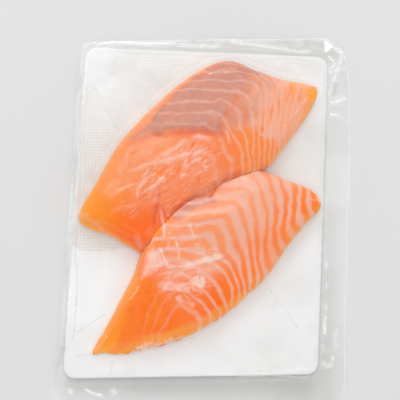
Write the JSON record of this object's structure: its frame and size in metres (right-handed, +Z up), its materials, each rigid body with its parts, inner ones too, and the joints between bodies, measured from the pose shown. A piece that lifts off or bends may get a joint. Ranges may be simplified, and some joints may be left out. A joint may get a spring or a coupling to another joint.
{
  "type": "vacuum pack of salmon portions",
  "caption": "Raw skinless salmon portions lying side by side on a white embossed board, sealed in a clear vacuum pouch whose crumpled margin is narrow at the left and wide at the other sides.",
  "frame": {"origin": "middle of the rectangle that just holds the pouch, on the surface that the pack lies on", "axes": "+Z up out of the pack's face, +Y along the pouch towards the end with the upper portion, +X across it to the right"},
  "size_m": [0.178, 0.234, 0.0218],
  "materials": {
    "raw_salmon": "wet raw fish flesh, orange with thin pale fat lines and a grey-brown band under the skin side",
    "raw_salmon_marbled": "wet raw fish flesh, orange with broad pale fat lines",
    "white_board": "matt white, embossed all over with a fine pattern of dots",
    "clear_film": "clear glossy plastic film, wrinkled round the margin"
  },
  "bodies": {
    "root": {"film_bottom": "clear_film", "board": "white_board", "salmon_upper": "raw_salmon", "salmon_lower": "raw_salmon_marbled", "film_top": "clear_film"}
  },
  "joints": []
}
